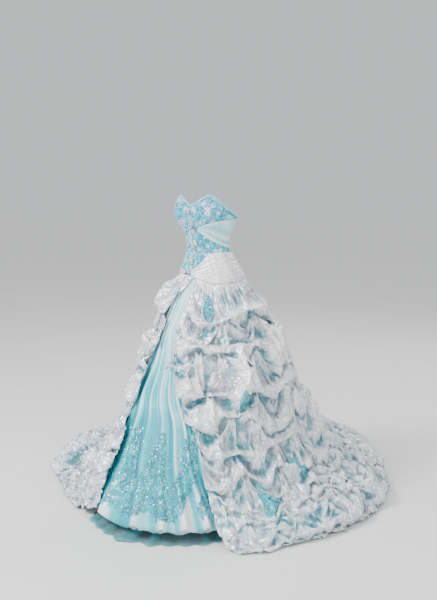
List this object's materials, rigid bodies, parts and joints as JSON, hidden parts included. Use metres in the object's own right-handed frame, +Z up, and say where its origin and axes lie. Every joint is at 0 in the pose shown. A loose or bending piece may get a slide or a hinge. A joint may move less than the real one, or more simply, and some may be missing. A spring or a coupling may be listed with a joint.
{
  "type": "strapless ball gown with pick-up overskirt and train",
  "caption": "Strapless aqua ball gown in its worn, hollow form: lace corset, wrapped hip sash, puffed white overskirt open over a pleated panel, and a train.",
  "frame": {"origin": "middle of the waist, inside the hollow bodice, where a wearer holds the gown up", "axes": "+Z up, the front faces -Y, +X is the wearer's left"},
  "size_m": [1.603, 1.7393, 1.3107],
  "materials": {
    "aqua_satin": "smooth aqua satin with a soft sheen",
    "pale_satin": "pale aqua satin",
    "bodice_lace": "floral lace with beads and sequins",
    "white_taffeta": "crisp crinkled white taffeta with a silvery, faintly aqua sheen",
    "aqua_tulle": "aqua tulle with beaded lace at the hem",
    "teal_net": "sheer dark teal net",
    "turquoise_lace": "turquoise lace with sequins",
    "amber_stone": "cut resin stones, pale gold",
    "zip_tape": "woven zip tape with a moulded chain",
    "zip_metal": "polished zinc"
  },
  "bodies": {
    "gown": {"bodice_centre_front": "aqua_satin", "bodice_side_front_left": "aqua_satin", "bodice_side_front_right": "aqua_satin", "bodice_side_back_left": "aqua_satin", "bodice_side_back_right": "aqua_satin", "bodice_back_left": "aqua_satin", "bodice_back_right": "aqua_satin", "bodice_lace_front": "bodice_lace", "neckline_binding": "pale_satin", "bodice_drape": "pale_satin", "hip_sash_left": "white_taffeta", "hip_sash_right": "white_taffeta", "front_jewel_1": "amber_stone", "front_jewel_2": "amber_stone", "front_jewel_3": "amber_stone", "front_jewel_4": "amber_stone", "front_jewel_5": "amber_stone", "zip_chain": "zip_tape", "zip_slider": "zip_metal", "zip_bridge": "zip_metal", "underskirt_front_left": "aqua_satin", "underskirt_front_right": "aqua_satin", "underskirt_back_left": "aqua_satin", "underskirt_back_right": "aqua_satin", "petticoat_front_left": "teal_net", "petticoat_front_right": "teal_net", "petticoat_back_left": "teal_net", "petticoat_back_right": "teal_net", "front_panel": "aqua_tulle", "overskirt_left_front": "white_taffeta", "overskirt_right_front": "white_taffeta", "overskirt_left_side": "white_taffeta", "overskirt_right_side": "white_taffeta", "overskirt_back_left": "white_taffeta", "overskirt_back_right": "white_taffeta", "pickup_lace_1": "turquoise_lace", "pickup_lace_2": "turquoise_lace", "pickup_lace_3": "turquoise_lace", "pickup_lace_4": "turquoise_lace"},
    "pull_tab": {"zip_pull_tab": "zip_metal"}
  },
  "joints": [
    {"name": "pull_tab_swing", "type": "hinge", "parent": "gown", "child": "pull_tab", "pos_m": [0, 0.10349, 0.074], "axis": [1, 0, 0], "range_deg": [0, 150]}
  ]
}
